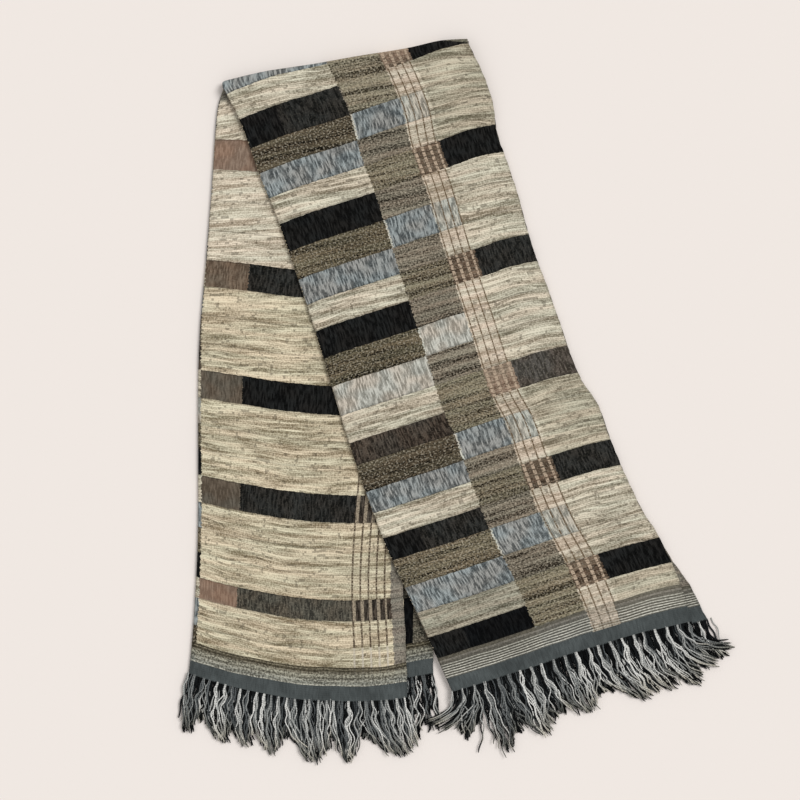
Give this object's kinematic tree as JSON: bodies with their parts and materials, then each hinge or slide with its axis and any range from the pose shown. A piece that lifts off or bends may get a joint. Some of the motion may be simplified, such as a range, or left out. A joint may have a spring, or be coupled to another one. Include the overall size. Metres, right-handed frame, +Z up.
{
  "type": "throw blanket",
  "caption": "Hand-woven throw in blocks and stripes with knotted-in yarn fringes, folded lengthwise and once across, its two ends spread apart.",
  "frame": {"origin": "middle of the folded throw's bounding box, on the surface that it lies on", "axes": "+Z up from the surface, +Y towards the fold across the throw, +X towards the side where the selvedges lie"},
  "size_m": [0.7634, 1.0153, 0.0189],
  "materials": {
    "woven_cloth": "matte slubbed handweave, blocks and stripes in several colours",
    "fringe_yarn": "matte loose yarns, light grey over dark grey"
  },
  "bodies": {
    "root": {"cloth": "woven_cloth", "fringe_upper": "fringe_yarn", "fringe_lower": "fringe_yarn"}
  },
  "joints": []
}
